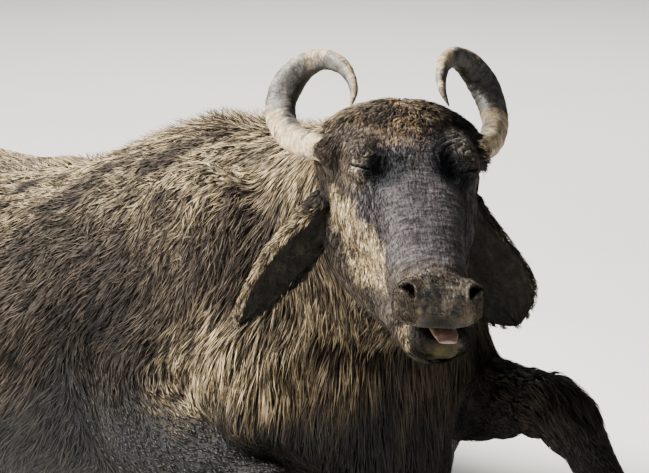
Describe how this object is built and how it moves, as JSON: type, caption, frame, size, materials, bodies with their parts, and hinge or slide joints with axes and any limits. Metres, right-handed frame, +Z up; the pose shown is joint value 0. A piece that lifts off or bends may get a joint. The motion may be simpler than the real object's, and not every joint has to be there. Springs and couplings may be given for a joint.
{
  "type": "water buffalo",
  "caption": "Life-size water buffalo lying on its breast with its legs folded, head turned to one side, curled horns and hanging ears.",
  "frame": {"origin": "on the floor, in the middle of the flat under the breast and belly, between the shoulders", "axes": "+Z up, +Y along the back towards the tail, so the animal faces -Y and its right side is at -X"},
  "size_m": [1.071, 2.1187, 0.8527],
  "materials": {
    "hide": "coarse dark grey-brown hair with dried pale mud on the tips",
    "ears": "short dark hair outside, nearly black skin inside",
    "horns": "grey horn with cross ridges and pale dried mud",
    "hooves": "dull dark horn",
    "eyes": "wet dark brown",
    "tongue": "moist pinkish brown"
  },
  "bodies": {
    "root": {"ear_left": "ears", "ear_right": "ears", "eye_left": "eyes", "eye_right": "eyes", "foreleg_left": "hide", "foreleg_right": "hide", "head": "hide", "hindleg_left": "hide", "hindleg_right": "hide", "hoof_fore_left_a": "hooves", "hoof_fore_left_b": "hooves", "hoof_fore_right_a": "hooves", "hoof_fore_right_b": "hooves", "hoof_hind_left_a": "hooves", "hoof_hind_left_b": "hooves", "hoof_hind_right_a": "hooves", "hoof_hind_right_b": "hooves", "horn_left": "horns", "horn_right": "horns", "neck": "hide", "tail": "hide", "tongue": "tongue", "torso": "hide"}
  },
  "joints": []
}
